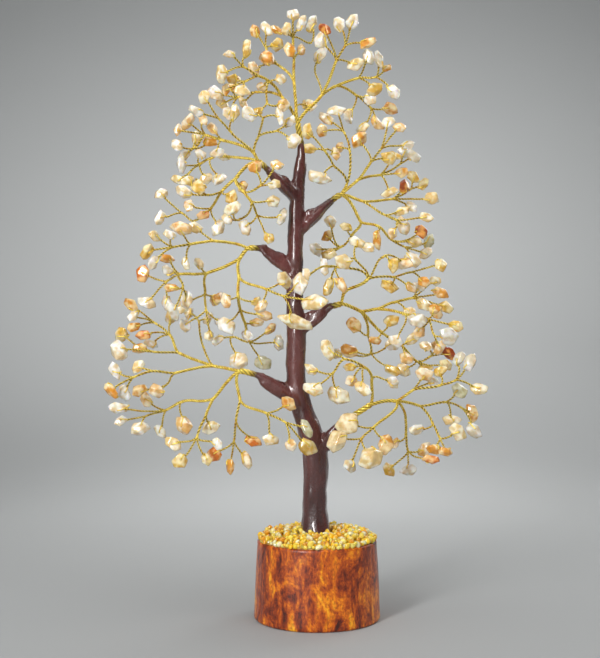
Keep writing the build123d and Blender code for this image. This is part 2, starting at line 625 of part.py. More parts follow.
def wood_base():
    seat = (Align.CENTER, Align.CENTER, Align.MIN)
    body = Cone(base_foot_diameter / 2, base_top_diameter / 2, base_height, align=seat)
    body = fillet(body.edges().filter_by(GeomType.CIRCLE), base_edge_round)
    hole_floor = base_height - peg_depth - core_clearance
    hole_top = base_height + cut_overrun
    under = np.array((foot_x, 0, hole_floor))
    over = np.array((foot_x, 0, hole_top))
    return body - rod(under, over, core_diameter / 2 + core_clearance)


def glue_bed():
    """The layer of clear glue that holds the gravel, around the trunk's foot."""
    top = base_height + glue_thickness
    disc = rod(np.array((0, 0, base_height)), np.array((0, 0, top)), base_top_diameter / 2 - glue_margin)
    under = np.array((foot_x, 0, base_height - cut_overrun))
    over = np.array((foot_x, 0, top + cut_overrun))
    return disc - rod(under, over, foot_radius + core_clearance)


def grain(x, y):
    """A small chip with a flat underside on the glue."""
    floor = base_height + glue_thickness
    points = []
    for ring_share, height_share, corners in zip(grain_ring_shares, grain_height_shares, grain_ring_corners):
        turn = chance.uniform(0, 2 * math.pi)
        height = grain_height * height_share * chance.uniform(0.75, 1.0)
        for k in range(corners):
            angle = turn + 2 * math.pi * k / corners
            ring = grain_size / 2 * ring_share * chance.uniform(0.82, 1.0)
            points.append((x + ring * math.cos(angle), y + ring * math.sin(angle), floor + height))
    return ConvexPolyhedron(points)


def gravel():
    """Grains in an even spiral from the trunk's foot to the rim of the glue."""
    outer = base_top_diameter / 2 - glue_margin - grain_size / 2
    inner = foot_radius + core_clearance + grain_size / 2 + grain_gap
    spacing = grain_spacing_share * (grain_size + grain_gap)
    grains = []
    for k in range(int((outer / spacing) ** 2)):
        ring = spacing * math.sqrt(k + 0.5)
        angle = k * math.pi * (3 - math.sqrt(5))
        x = ring * math.cos(angle)
        y = ring * math.sin(angle)
        if ring <= outer and math.hypot(x - foot_x, y) >= inner:
            grains.append(grain(x, y))
    return grains


# Trunk: the tapering coat with its stubs, bored for the wire core and cupped at every mouth
def trunk_coat():
    stations = []
    last = len(trunk_px) - 1
    for k, (across, down, width) in enumerate(trunk_px):
        centre = trunk_points[k]
        direction = unit(trunk_points[min(k + 1, last)] - trunk_points[max(k - 1, 0)])
        radius = width / 2 * trunk_pixel
        if k == 0:
            centre = np.array((foot_x, 0, base_height))
            direction = np.array((0.0, 0.0, 1.0))
        if k == last:
            centre = centre - direction * mouth_drop
            radius = mouth_radius("crown")
        stations.append((centre, direction, radius))
    return tapered(stations)


def stub_line(spray):
    """Where a stub starts in the trunk, where its mouth is, and the way from one to the other."""
    root, mouth, width = stubs_px[spray]
    root = place(*root)
    mouth = place(*mouth)
    return root, mouth, unit(mouth - root)


def stub(spray):
    root, mouth, out = stub_line(spray)
    length = np.linalg.norm(mouth - root)
    middle = stubs_px[spray][2] / 2 * trunk_pixel
    stations = []
    for along, girth in zip(stub_along_shares, stub_girth_shares):
        stations.append((root + out * length * along, out, middle * girth))
    stations.append((mouth - out * mouth_drop, out, mouth_radius(spray)))
    return tapered(stations)


def stub_rod(spray, clearance):
    """The rod in a stub, from beside the core to behind the cup."""
    root, mouth, out = stub_line(spray)
    beside_core = core_diameter / 2 + core_clearance + stub_rod_gap + stub_rod_diameter / 2
    start = root + out * (beside_core / math.hypot(out[0], out[1]) - clearance)
    end = mouth - out * (ball_radius(spray) + cup_clearance + cup_wall - clearance)
    return rod(start, end, stub_rod_diameter / 2 + clearance)


def core(clearance):
    """The wire core: straight up out of the base and along the middle of the trunk."""
    stations = zip(trunk_points, trunk_px)
    line = [tuple(point) for point, (across, down, width) in stations if down >= core_top_px]
    peg = (foot_x, 0, base_height - peg_depth)
    first_bend = (foot_x, 0, line[1][2])
    path = FilletPolyline(peg, first_bend, *line[2:], radius=core_bend_radius)
    start = Plane(origin=path @ 0, z_dir=path % 0)
    return sweep(start * Circle(core_diameter / 2 + clearance), path)


def trunk():
    body = trunk_coat()
    for spray in stubs_px:
        body = body + stub(spray)
    for spray in stubs_px:
        body = body - stub_rod(spray, core_clearance)
    body = body - core(core_clearance)
    for spray in spray_names:
        body = body - ball(pivots[spray_names.index(spray)], ball_radius(spray) + cup_clearance)
    return body


# Sprays: the bundle that turns in the stub's mouth, the runs between forks, twigs and stones
def bundle(spray):
    pivot = pivots[spray_names.index(spray)]
    shaft = rod(pivot, forks[spray, "bundle"], bundle_radius(spray))
    return ball(pivot, ball_radius(spray)) + shaft


def run(spray, fork, parent, radius):
    start = forks[spray, parent]
    end = forks[spray, fork]
    return rod(start + unit(end - start) * starts[spray, fork], end, radius)


def twig(root, middle, back):
    along = unit(middle - root)
    return rod(root + along * back, middle + along * (hole_past_centre - hole_end_gap), twig_radius)


def drilled_stone(root, middle, corners):
    """A chip with the blind hole that its twig ends in."""
    along = unit(middle - root)
    size = np.linalg.norm(corners, axis=1).max() + cut_overrun
    hole = rod(middle - along * size, middle + along * hole_past_centre, twig_radius + hole_clearance)
    return ConvexPolyhedron([tuple(corner + middle) for corner in corners]) - hole


os.makedirs("parts", exist_ok=True)
save("wood_base", [wood_base()])
save("glue_bed", [glue_bed()])
save("gravel", gravel())
save("trunk", [trunk()])
save("trunk_core", [core(0)])
save("branch_roots", [stub_rod(spray, 0) for spray in stubs_px])
for spray in spray_names:
    save(f"{spray}_bundle", [bundle(spray)])
    for limb in dict.fromkeys(limbs[spray].values()):
        letters = [letter for letter, name in limbs[spray].items() if name == limb]
        limb_wires = [run(*wire) for wire in wires if wire[0] == spray and wire[1][0] in letters]
        limb_chips = [chip for chip in chips if chip[0] == spray and chip[1][0] in letters]
        limb_wires += [twig(root, middle, back) for _, _, root, middle, back, _ in limb_chips]
        save(f"{spray}_{limb}_wires", limb_wires)
        limb_stones = [drilled_stone(root, middle, corners) for _, _, root, middle, _, corners in limb_chips]
        save(f"{spray}_{limb}_stones", limb_stones)
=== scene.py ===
import json
import math
import random

import bmesh
import bpy
import numpy as np
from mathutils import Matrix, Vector, noise

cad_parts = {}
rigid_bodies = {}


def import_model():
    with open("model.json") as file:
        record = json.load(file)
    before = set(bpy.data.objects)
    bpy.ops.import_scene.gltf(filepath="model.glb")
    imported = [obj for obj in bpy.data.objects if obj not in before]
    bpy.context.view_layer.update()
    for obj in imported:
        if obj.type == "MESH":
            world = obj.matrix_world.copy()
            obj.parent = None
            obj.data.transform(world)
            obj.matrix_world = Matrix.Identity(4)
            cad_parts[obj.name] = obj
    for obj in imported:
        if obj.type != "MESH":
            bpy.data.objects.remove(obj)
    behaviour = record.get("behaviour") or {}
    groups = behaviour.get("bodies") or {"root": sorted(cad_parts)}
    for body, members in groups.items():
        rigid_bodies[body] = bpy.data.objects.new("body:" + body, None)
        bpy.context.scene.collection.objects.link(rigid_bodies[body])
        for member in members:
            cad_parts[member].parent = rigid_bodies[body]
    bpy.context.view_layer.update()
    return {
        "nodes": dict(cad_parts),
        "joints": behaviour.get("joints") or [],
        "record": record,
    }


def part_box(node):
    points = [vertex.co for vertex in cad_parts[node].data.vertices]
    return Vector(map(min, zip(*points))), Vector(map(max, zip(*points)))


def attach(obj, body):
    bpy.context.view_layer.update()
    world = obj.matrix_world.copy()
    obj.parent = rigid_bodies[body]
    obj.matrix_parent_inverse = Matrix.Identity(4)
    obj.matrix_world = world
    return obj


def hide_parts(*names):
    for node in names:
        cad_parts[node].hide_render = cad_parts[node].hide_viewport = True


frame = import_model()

# Gemstone tree ornament. Metres, +Z up, the front towards -Y, as in the frame.
# Wires and stones are drawn around the rods and chips of the frame, so nothing is placed twice.
mm = 0.001
# Fixed seeds, so that each run gives the same tree
chance = random.Random(5)
noise.seed_set(5)

# The photograph's view: level, with the middle of the base's top at this place in the picture
picture_height_px = 658
view_centre_px = (300, 329)
base_middle_px = 317
base_top_px = 539
pixel = 0.449 * mm
view_distance = 520 * mm
sensor = 36.0

# Wires
twist_pitch = 2.8 * mm
strand_sides = 8
steps_per_turn = 10
bundle_pitch = 9.0 * mm
bundle_strands = 4
fork_reach = 9 * mm
line_tolerance = 0.06 * mm
fork_overlap = 1.2 * mm
wobble = 0.2 * mm
wobble_wave = 5 * mm
curve_points = 41
lean_from_fork = 0.5
lean_to_end = 0.35
twig_bend = 0.35
# Painted shade in the grooves: how fast a strand darkens away from its outer side
groove_shade_power = 1.4
stain_reach = 3.2 * mm
stain_start = 1.35
stain_most = 0.95
# A run that is this many times as thick as a twig shows a third strand
thick_run = 1.3
# A twig carries the stone whose middle is this near its end, as a share of the stone's reach
carried_share = 0.6

# Stones
stone_sharpness = 36
stone_swell = 1.18
stone_limit = 1.1
dent_share = 0.06
fine_dent_share = 0.012
dent_scale = 1.6
fine_dent_scale = 5.5
lowest_face = 0.05
same_face_cosine = 0.995
same_face_height = 0.02
edge_narrowness = 4.5
cloud_size = 2.2 * mm
fine_cloud_size = 0.8 * mm
# Painted shade along a chip's edges: how strongly the edges are deepened, and the tint they are deepened
# towards
edge_shade_share = 0.35
edge_shade_tint = (1.0, 0.78, 0.4)
# Painted shade at each drill hole's mouth, with its spread and strength; then how deep a loop goes into the
# hole
hole_radius = 0.5 * mm
hole_shade_share = 0.8
hole_depth = 0.55
loop_radius = 0.26 * mm
loop_degrees = (12, 28, 46, 64, 78)
tone_reach_px = 4.0

# Trunk
trunk_voxel = 0.5 * mm
ridge_height = 0.42 * mm
lump_height = 0.42 * mm
crotch_rise = 2.2 * mm
crotch_lumps = ((0.36, 2.1 * mm), (0.5, 1.6 * mm))
mouth_reach = 3.4 * mm
taper_length = 8 * mm
taper_share = 0.24
tip_length = 1.4 * mm
tip_wall = 0.25 * mm
tip_root = 3 * mm
tip_step = 0.4 * mm
tip_sides = 20
mouth_share = 1.08
mouth_wall = 0.55 * mm
plug_radius = 4 * mm
plug_low = 0.3 * mm
plug_high = 4 * mm
plug_step = 0.5 * mm
plug_sides = 16
ridge_width = 3.2 * mm
ridge_length = 30 * mm
stub_reach = 4.4 * mm
stub_ridges = 3
stub_wave = 14 * mm
lump_size = 6 * mm
smoothing_rounds = 3

# Base and gravel
base_rounds = 224
base_levels = 40
base_ripple = 0.32 * mm
base_taper = 1.35 * mm
base_edge = 1.2 * mm
edge_steps = 4
grain_size = 2.7 * mm
grain_shape = (1.2, 0.9, 0.75)
grain_spacing = 0.86 * mm
gravel_inset = 2.3 * mm
trunk_foot = 7.6 * mm
rim_grains = 96
# Each layer's share of the heap's radius, its height over the glue and how full it is
heap_layers = (
    (1.0, 0.3 * mm, 0.42),
    (0.95, 1.2 * mm, 0.32),
    (0.88, 2.2 * mm, 0.26),
    (0.74, 3.0 * mm, 0.2),
)

# Colours by their usual hexadecimal names, with the share of light that goes through a stone
gold_bright = "FFE66C"
# Painted shade in the grooves between twisted strands
groove_shade_colour = "2E1802"
stain = "2E1A14"
# Painted shade inside a drill hole
hole_shade_colour = "4A2A0C"
stone_tones = {
    "white": ("FFFDF8", "FBE6BE", 0.14),
    "clear": ("FFFEFA", "FAF0DA", 0.34),
    "cream": ("FFF6E0", "F6DA9A", 0.12),
    "tan": ("F4E6C0", "E6CC94", 0.14),
    "peach": ("FFEFD4", "F7CB84", 0.14),
    "gold": ("FFECB8", "F6CC5C", 0.22),
    "amber": ("FFE4B0", "F3AE40", 0.2),
    "orange": ("FFD090", "EE8A28", 0.18),
    "brown": ("E8A650", "B04E12", 0.2),
    "grey": ("EAE8CE", "D8D6B0", 0.3),
}
stone_tone_places = {
    "clear": (
        (368, 57), (379, 60), (196, 111), (282, 217), (181, 164), (407, 145), (404, 152), (316, 249),
        (153, 263), (168, 270), (167, 303), (174, 312), (248, 336), (279, 343), (417, 320), (448, 336),
        (459, 359), (470, 362), (408, 470), (474, 431), (413, 156),
    ),
    "cream": (
        (309, 105), (287, 29), (356, 65), (363, 128), (281, 79), (222, 74), (243, 91), (235, 113),
        (204, 97), (196, 138), (187, 181), (273, 201), (274, 184), (232, 208), (206, 179), (178, 180),
        (390, 192), (432, 198), (402, 211), (426, 217), (367, 247), (414, 242), (195, 228), (185, 263),
        (155, 236), (284, 280), (316, 302), (294, 322), (184, 306), (211, 337), (343, 261), (357, 242),
        (408, 312), (423, 305), (435, 281), (413, 339), (404, 370), (426, 346), (189, 312), (171, 318),
        (138, 367), (211, 428), (173, 443), (206, 459), (270, 440), (363, 389), (328, 350), (310, 369),
        (313, 389), (339, 396), (479, 389), (452, 420), (458, 432), (371, 459),
    ),
    "tan": ((349, 424), (337, 440)),
    "peach": (
        (254, 69), (301, 50), (378, 123), (262, 87), (229, 54), (283, 105), (213, 129), (188, 122),
        (178, 130), (202, 118), (188, 206), (277, 165), (195, 185), (335, 153), (340, 147), (326, 118),
        (399, 128), (394, 234), (425, 253), (180, 228), (226, 300), (265, 316), (257, 322), (261, 306),
        (405, 263), (341, 285), (411, 288), (420, 331), (440, 347), (406, 358), (437, 345), (157, 391),
        (183, 425), (146, 400), (247, 460), (291, 445), (351, 381), (424, 374), (395, 444), (425, 449),
    ),
    "gold": (
        (277, 45), (375, 89), (245, 49), (234, 79), (260, 111), (223, 104), (232, 196), (199, 187),
        (268, 238), (310, 149), (308, 131), (388, 157), (395, 155), (413, 177), (424, 184), (346, 227),
        (329, 254), (147, 251), (256, 302), (393, 266), (329, 287), (390, 287), (441, 265), (446, 307),
        (456, 326), (391, 321), (426, 369), (446, 365), (393, 370), (122, 334), (180, 462), (349, 367),
        (441, 371), (389, 470), (308, 448),
    ),
    "amber": (
        (267, 58), (289, 50), (276, 30), (255, 31), (368, 43), (387, 68), (391, 109), (226, 89),
        (243, 103), (231, 87), (210, 142), (243, 187), (256, 167), (322, 131), (359, 140), (401, 173),
        (327, 236), (377, 241), (168, 259), (171, 288), (270, 329), (424, 282), (441, 293), (437, 314),
        (435, 309), (375, 340), (354, 325), (349, 351), (131, 305), (134, 327), (140, 348), (111, 391),
        (139, 390), (230, 466), (289, 403), (472, 413), (434, 450), (446, 452), (386, 445), (216, 297),
    ),
    "orange": ((203, 215), (142, 273), (143, 335), (254, 441), (214, 454), (431, 459)),
    "brown": ((325, 29), (405, 187), (421, 231), (449, 353)),
    "grey": ((263, 363), (459, 391), (429, 241), (307, 428)),
}
grain_tones = ("FFD636", "FFE87C", "FFC41E", "FFF4BC", "E8A214", "FFE058", "FFCE2E")


def linear(code):
    """A hexadecimal colour as linear red, green and blue."""
    parts = [int(code[k:k + 2], 16) / 255 for k in (0, 2, 4)]
    return np.array([p / 12.92 if p <= 0.04045 else ((p + 0.055) / 1.055) ** 2.4 for p in parts])


def unit(v):
    return v / np.linalg.norm(v)


def across_of(direction):
    """Some unit vector square to a direction."""
    helper = np.array((0.0, 1.0, 0.0)) if abs(direction[1]) < 0.8 else np.array((1.0, 0.0, 0.0))
    return unit(np.cross(direction, helper))


def seen_at(point):
    """Where a point lies in the photograph, in pixels."""
    spread = pixel * (1 + point[1] / view_distance)
    return (
        view_centre_px[0] + (point[0] - camera_place[0]) / spread,
        view_centre_px[1] - (point[2] - camera_place[2]) / spread,
    )


base_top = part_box("wood_base")[1].z
camera_place = np.array(
    (
        (view_centre_px[0] - base_middle_px) * pixel,
        -view_distance,
        base_top + (base_top_px - view_centre_px[1]) * pixel,
    )
)


# Reading the frame
def values_of(items, name, width, kind=np.float32):
    """A value of each vertex or edge of a mesh, a row each."""
    found = np.zeros(len(items) * width, kind)
    items.foreach_get(name, found)
    return found.reshape(-1, width)


def solids_of(node):
    """The separate solids of a node, as arrays of their points."""
    mesh = frame["nodes"][node].data
    edges = values_of(mesh.edges, "vertices", 2, np.int32)
    corners, spot = np.unique(values_of(mesh.vertices, "co", 3), axis=0, return_inverse=True)
    spot = spot.reshape(-1)
    leader = list(range(len(corners)))

    def lead(k):
        while leader[k] != k:
            leader[k] = leader[leader[k]]
            k = leader[k]
        return k

    for a, b in spot[edges]:
        leader[lead(a)] = lead(b)
    groups = {}
    for k in range(len(corners)):
        groups.setdefault(lead(k), []).append(k)
    return [corners[members].astype(float) for members in groups.values()]


def rod_of(points):
    """The two ends and the radius of a straight round rod."""
    centre = (points.min(0) + points.max(0)) / 2
    axis = np.linalg.svd(points - points.mean(0), full_matrices=False)[2][0]
    along = (points - centre) @ axis
    radius = np.linalg.norm(points - centre - np.outer(along, axis), axis=1).max()
    return centre + axis * along.min(), centre + axis * along.max(), radius


class Branch:
    """A run of wire between two forks, or the twig of a stone."""

    def __init__(self, start, end, radius, limb, parent):
        self.start = start
        self.end = end
        self.radius = radius
        self.limb = limb
        self.parent = parent
        self.children = []
        self.stone = None
        self.way = unit(end - start)


class Stone:
    """A stone of the frame, with its corners about its middle."""

    def __init__(self, points, limb):
        self.limb = limb
        self.middle = (points.min(0) + points.max(0)) / 2
        self.corners = points - self.middle
        self.reach = np.linalg.norm(self.corners, axis=1).max()


def read_spray(joint):
    """The bundle of a spray with all that grows from it, as a tree of branches."""
    body = joint["child"]
    nodes = frame["record"]["behaviour"]["bodies"][body]
    pivot = np.array(joint["pos_m"])
    bundle = np.concatenate(solids_of(next(n for n in nodes if n.endswith("_bundle"))))
    far = np.linalg.norm(bundle - pivot, axis=1)
    cap = bundle[far > far.max() - line_tolerance]
    end = (cap.min(0) + cap.max(0)) / 2
    first = Branch(pivot, end, np.linalg.norm(cap - end, axis=1).max(), body, None)
    rods = []
    stones = []
    for node in nodes:
        if node.endswith("_wires"):
            rods += [(*rod_of(points), node) for points in solids_of(node)]
        if node.endswith("_stones"):
            stones += [Stone(points, node) for points in solids_of(node)]
    growing = [first]
    while growing:
        branch = growing.pop()
        fork = branch.end
        left = []
        for low, high, radius, node in rods:
            near, far = sorted((low, high), key=lambda tip: np.linalg.norm(tip - fork))
            way = unit(far - near)
            off = np.linalg.norm(np.cross(fork - near, way))
            ahead = (near - fork) @ way
            if off < line_tolerance and 0 < ahead < fork_reach:
                child = Branch(fork, far, radius, node, branch)
                branch.children.append(child)
                closest = min(stones, key=lambda stone: np.linalg.norm(stone.middle - far))
                if np.linalg.norm(closest.middle - far) < closest.reach * carried_share:
                    child.stone = closest
                else:
                    growing.append(child)
            else:
                left.append((low, high, radius, node))
        rods = left
    if rods:
        raise ValueError(f"{body}: {len(rods)} rods join no fork")
    return first


def branches_from(first):
    """A branch and all that grows from it."""
    found = [first]
    for branch in found:
        found.extend(branch.children)
    return found


# Mesh parts
class Pile:
    """Mesh parts gathered into one object."""

    def __init__(self):
        self.points = []
        self.faces = []
        self.tones = []
        self.count = 0

    def add(self, points, faces, tones=None):
        self.points.append(points)
        self.faces.extend([tuple(k + self.count for k in face) for face in faces])
        if tones is not None:
            self.tones.append(tones)
        self.count += len(points)

    def build(self, name, material):
        mesh = bpy.data.meshes.new(name)
        mesh.from_pydata(np.concatenate(self.points).tolist(), [], self.faces)
        mesh.polygons.foreach_set("use_smooth", [True] * len(mesh.polygons))
        if self.tones:
            colours = np.concatenate(self.tones).astype(np.float32)
            layer = mesh.color_attributes.new("tone", "FLOAT_COLOR", "POINT")
            layer.data.foreach_set("color", colours.reshape(-1))
        mesh.materials.append(material)
        mesh.update()
        piece = bpy.data.objects.new(name, mesh)
        bpy.context.scene.collection.objects.link(piece)
        return piece


def tube(path, outward, radius, sides=strand_sides):
    """A closed round tube along a path. Outward keeps its sides from twisting."""
    tangents = np.gradient(path, axis=0)
    tangents /= np.linalg.norm(tangents, axis=1)[:, None]
    beside = np.cross(tangents, outward)
    beside /= np.linalg.norm(beside, axis=1)[:, None]
    up = np.cross(beside, tangents)
    radii = np.broadcast_to(np.asarray(radius, float), (len(path),))[:, None]
    rings = []
    for k in range(sides):
        angle = 2 * math.pi * k / sides
        rings.append(path + radii * (math.cos(angle) * up + math.sin(angle) * beside))
    points = np.stack(rings, axis=1).reshape(-1, 3)
    faces = []
    for row in range(len(path) - 1):
        for k in range(sides):
            a = row * sides + k
            b = row * sides + (k + 1) % sides
            faces.append((a, a + sides, b + sides, b))
    faces.append(tuple(range(sides)))
    last = (len(path) - 1) * sides
    faces.append(tuple(last + k for k in reversed(range(sides))))
    return points, faces


def carried_frames(line):
    """Normals and binormals that are carried along a line without twist."""
    tangents = np.gradient(line, axis=0)
    tangents /= np.linalg.norm(tangents, axis=1)[:, None]
    normal = across_of(tangents[0])
    normals = []
    for tangent in tangents:
        normal = unit(normal - (normal @ tangent) * tangent)
        normals.append(normal)
    normals = np.array(normals)
    return normals, np.cross(tangents, normals)


def evenly(line, step):
    """A line with its points moved to even steps."""
    run = np.concatenate([[0], np.cumsum(np.linalg.norm(np.diff(line, axis=0), axis=1))])
    count = max(int(run[-1] / step) + 1, 4)
    spots = np.linspace(0, run[-1], count)
    return np.stack([np.interp(spots, run, line[:, k]) for k in range(3)], axis=1), spots


def strand_tones(rows):
    """Point colours of a strand: its gold on the outer side, with painted shade in the groove between
    strands.
    """
    outer = 0.5 + 0.5 * np.cos(2 * math.pi * np.arange(strand_sides) / strand_sides)
    outer = np.tile(outer ** groove_shade_power, rows)[:, None]
    # Painted shade: each strand darkens from its gold on the outer side to deep brown in the groove where
    # strands touch
    tones = linear(groove_shade_colour) * (1 - outer) + linear(gold_bright) * outer
    return np.concatenate([tones, np.ones((len(tones), 1))], axis=1)


def rope(pile, line, radius, strands, pitch):
    """Strands twisted around a line."""
    line, spots = evenly(line, pitch / steps_per_turn)
    normals, binormals = carried_frames(line)
    sine = math.sin(math.pi / strands)
    strand = radius * sine / (1 + sine)
    ring = radius - strand
    turn = chance.uniform(0, 2 * math.pi)
    for k in range(strands):
        angle = (turn + 2 * math.pi * k / strands + 2 * math.pi * spots / pitch)[:, None]
        outward = normals * np.cos(angle) + binormals * np.sin(angle)
        pile.add(*tube(line + outward * ring, outward, strand), strand_tones(len(line)))


def hermite(t, start, leave, end, arrive):
    """The points at the shares t of a cubic from start to end, with the slopes at its two ends."""
    return (
        (2 * t ** 3 - 3 * t ** 2 + 1) * start
        + (t ** 3 - 2 * t ** 2 + t) * leave
        + (3 * t ** 2 - 2 * t ** 3) * end
        + (t ** 3 - t ** 2) * arrive
    )


def curve(start, end, way_in, way_out):
    """A smooth line that leaves start towards way_in and comes to end towards way_out."""
    chord = end - start
    length = np.linalg.norm(chord)
    leave = unit(way_in * lean_from_fork + chord / length * (1 - lean_from_fork)) * length
    arrive = unit(way_out * lean_to_end + chord / length * (1 - lean_to_end)) * length
    return hermite(np.linspace(0, 1, curve_points)[:, None], start, leave, end, arrive)


def unsteady(line):
    """A line with the small waves of wire that was twisted by hand."""
    phase = Vector([chance.uniform(0, 100) for _ in range(3)])
    waves = np.array([noise.noise_vector(Vector(p) / wobble_wave + phase) for p in line])
    ends = np.sin(np.linspace(0, math.pi, len(line)))[:, None]
    return line + waves * wobble * ends


# Stones
def ball_mesh(divisions):
    """The points and faces of a ball of radius 1."""
    ball = bmesh.new()
    bmesh.ops.create_icosphere(ball, subdivisions=divisions, radius=1)
    points = np.array([v.co for v in ball.verts])
    faces = [tuple(v.index for v in f.verts) for f in ball.faces]
    ball.free()
    return points, faces


ball_fine = ball_mesh(4)
ball_coarse = ball_mesh(2)
ball_corners = ball_mesh(1)[0]


class Chip:
    """A tumbled chip: a polyhedron about the origin with rounded edges and a few dents."""

    def __init__(self, corners):
        self.shift = Vector([chance.uniform(0, 50) for _ in range(3)])
        self.size = np.linalg.norm(corners, axis=1).max()
        hull = bmesh.new()
        for corner in corners:
            hull.verts.new(corner / self.size)
        bmesh.ops.convex_hull(hull, input=hull.verts)
        normals = []
        heights = []
        for face in hull.faces:
            face.normal_update()
            normal = np.array(face.normal)
            height = normal @ np.array(face.verts[0].co)
            if height < 0:
                normal, height = -normal, -height
            same = [
                n @ normal > same_face_cosine and abs(h - height) < same_face_height
                for n, h in zip(normals, heights)
            ]
            if height > lowest_face and not any(same):
                normals.append(normal)
                heights.append(height)
        hull.free()
        self.normals = np.array(normals)
        self.heights = np.array(heights) * stone_swell

    def pushes(self, ways):
        """How near each face is along each way: the largest is the face that is met first."""
        return np.maximum(ways @ self.normals.T, 0) / self.heights

    def radius(self, ways):
        """How far the surface is from the middle along each way."""
        reach = (self.pushes(ways) ** stone_sharpness).sum(axis=1) ** (-1 / stone_sharpness)
        dents = np.array([noise.noise(Vector(way) * dent_scale + self.shift) for way in ways])
        fine = np.array([noise.noise(Vector(way) * fine_dent_scale + self.shift) for way in ways])
        reach = reach * (1 - dent_share * np.clip(dents + 0.1, 0, 1) - fine_dent_share * (1 + fine))
        return self.size * np.minimum(reach, stone_limit)

    def edges(self, ways):
        """How near each way is to an edge of the polyhedron, from 0 to 1."""
        two = np.sort(self.pushes(ways), axis=1)[:, -2:]
        return np.clip(1 - (1 - two[:, 0] / two[:, 1]) * edge_narrowness, 0, 1)

    def mesh(self, ball):
        return ball[0] * self.radius(ball[0])[:, None], ball[1]


def tone_of(stone):
    """The tone that is listed nearest a stone's place in the photograph, or white."""
    spot = seen_at(stone.middle)
    nearest = (tone_reach_px, "white")
    for name, places in stone_tone_places.items():
        for place in places:
            nearest = min(nearest, (math.dist(place, spot), name))
    return nearest[1]


def stone_colours(chip, points, name, mouths):
    """Point colours: body and clouds, painted shade along the edges and painted shade at the drill hole,
    with clearness last.
    """
    body, cloud = (linear(code) for code in stone_tones[name][:2])
    clear = stone_tones[name][2]
    tilt = unit(np.array([chance.gauss(0, 1) for _ in range(3)]))
    clouds = np.array([noise.noise(Vector(p) / cloud_size + chip.shift) for p in points])
    fine = np.array([noise.noise(Vector(p) / fine_cloud_size + chip.shift) for p in points])
    share = np.clip(0.5 + 1.6 * clouds + 0.5 * fine + 0.7 * (points @ tilt) / chip.size, 0, 1)
    share = (share ** 2 * (3 - 2 * share))[:, None]
    colours = body * (1 - share) + cloud * share
    ways = points / np.linalg.norm(points, axis=1)[:, None]
    # Painted shade: the colour is deepened and warmed along the chip's edges, more strongly in parts of the
    # clouds
    rim = (chip.edges(ways) * np.clip(0.55 + 1.2 * clouds, 0, 1))[:, None]
    colours = colours * (1 - edge_shade_share * rim * (1 - np.array(edge_shade_tint)))
    # Painted shade: a dark spot at each hole's mouth, where the hole lies in shade
    for mouth in mouths:
        near = np.exp(-(np.linalg.norm(points - mouth, axis=1) / hole_radius) ** 2)[:, None]
        colours = colours * (1 - hole_shade_share * near) + linear(hole_shade_colour) * hole_shade_share * near
    clearness = np.clip(clear + 0.25 * clouds[:, None], 0, 1)
    return np.concatenate([colours, clearness], axis=1)


def loop_line(chip, twig, thin):
    """A strand from the twig over the stone's face, through its hole and back over the other face."""
    places = []
    for side in (1, -1):
        row = []
        for angle in np.radians(loop_degrees):
            way = unit(-twig * math.cos(angle) + side * thin * math.sin(angle))
            row.append(way * (chip.radius(way[None])[0] + loop_radius * 0.8))
        row.append(row[-1] * hole_depth)
        places.append(row)
    entry = -twig * (chip.radius(-twig[None])[0] + 1.5 * loop_radius)
    points = [entry, *places[0], *reversed(places[1]), entry]
    mouths = (places[0][-2], places[1][-2])
    return smooth_line(np.array(points)), mouths


def smooth_line(points):
    """A rounded line through points."""
    before = np.concatenate([points[:1], points[:-1]])
    after = np.concatenate([points[1:], points[-1:]])
    ways = (after - before) / 2
    t = np.linspace(0, 1, 5)[:-1, None]
    spans = []
    for k in range(len(points) - 1):
        spans.append(hermite(t, points[k], ways[k], points[k + 1], ways[k + 1]))
    return np.concatenate(spans + [points[-1:]])


# Materials
def new_material(name):
    """A material with its nodes, links and shader."""
    material = bpy.data.materials.new(name)
    material.use_nodes = True
    nodes = material.node_tree.nodes
    return material, nodes, material.node_tree.links, nodes["Principled BSDF"]


def noise_node(nodes, links, scale, stretch=(1, 1, 1), detail=4.0):
    """Noise over a piece's own coordinates, at this many features a metre."""
    place = nodes.new("ShaderNodeTexCoord")
    mapping = nodes.new("ShaderNodeMapping")
    mapping.inputs["Scale"].default_value = stretch
    texture = nodes.new("ShaderNodeTexNoise")
    texture.inputs["Scale"].default_value = scale
    texture.inputs["Detail"].default_value = detail
    links.new(place.outputs["Object"], mapping.inputs["Vector"])
    links.new(mapping.outputs["Vector"], texture.inputs["Vector"])
    return texture


def ramp_node(nodes, links, source, stops):
    """A colour ramp with (place, hexadecimal colour) stops."""
    ramp = nodes.new("ShaderNodeValToRGB")
    elements = ramp.color_ramp.elements
    while len(elements) < len(stops):
        elements.new(0.5)
    for element, (place, code) in zip(elements, stops):
        element.position = place
        element.color = (*linear(code), 1)
    links.new(source, ramp.inputs["Fac"])
    return ramp


def bump_node(nodes, links, height, distance, strength, shader):
    """Fine relief on a shader from a height."""
    bump = nodes.new("ShaderNodeBump")
    bump.inputs["Distance"].default_value = distance
    bump.inputs["Strength"].default_value = strength
    links.new(height, bump.inputs["Height"])
    links.new(bump.outputs["Normal"], shader.inputs["Normal"])


def range_node(nodes, links, source, low, high):
    """A value from 0 to 1 spread from low to high."""
    spread = nodes.new("ShaderNodeMapRange")
    spread.inputs["To Min"].default_value = low
    spread.inputs["To Max"].default_value = high
    links.new(source, spread.inputs["Value"])
    return spread.outputs["Result"]


def tone_node(nodes):
    """The point colours of a piece."""
    tone = nodes.new("ShaderNodeVertexColor")
    tone.layer_name = "tone"
    return tone


def multiplied(nodes, links, first, second, share):
    """Two colours multiplied, as far as the share says."""
    mix = nodes.new("ShaderNodeMix")
    mix.data_type = "RGBA"
    mix.blend_type = "MULTIPLY"
    mix.inputs["Factor"].default_value = share
    links.new(first, mix.inputs["A"])
    links.new(second, mix.inputs["B"])
    return mix.outputs["Result"]


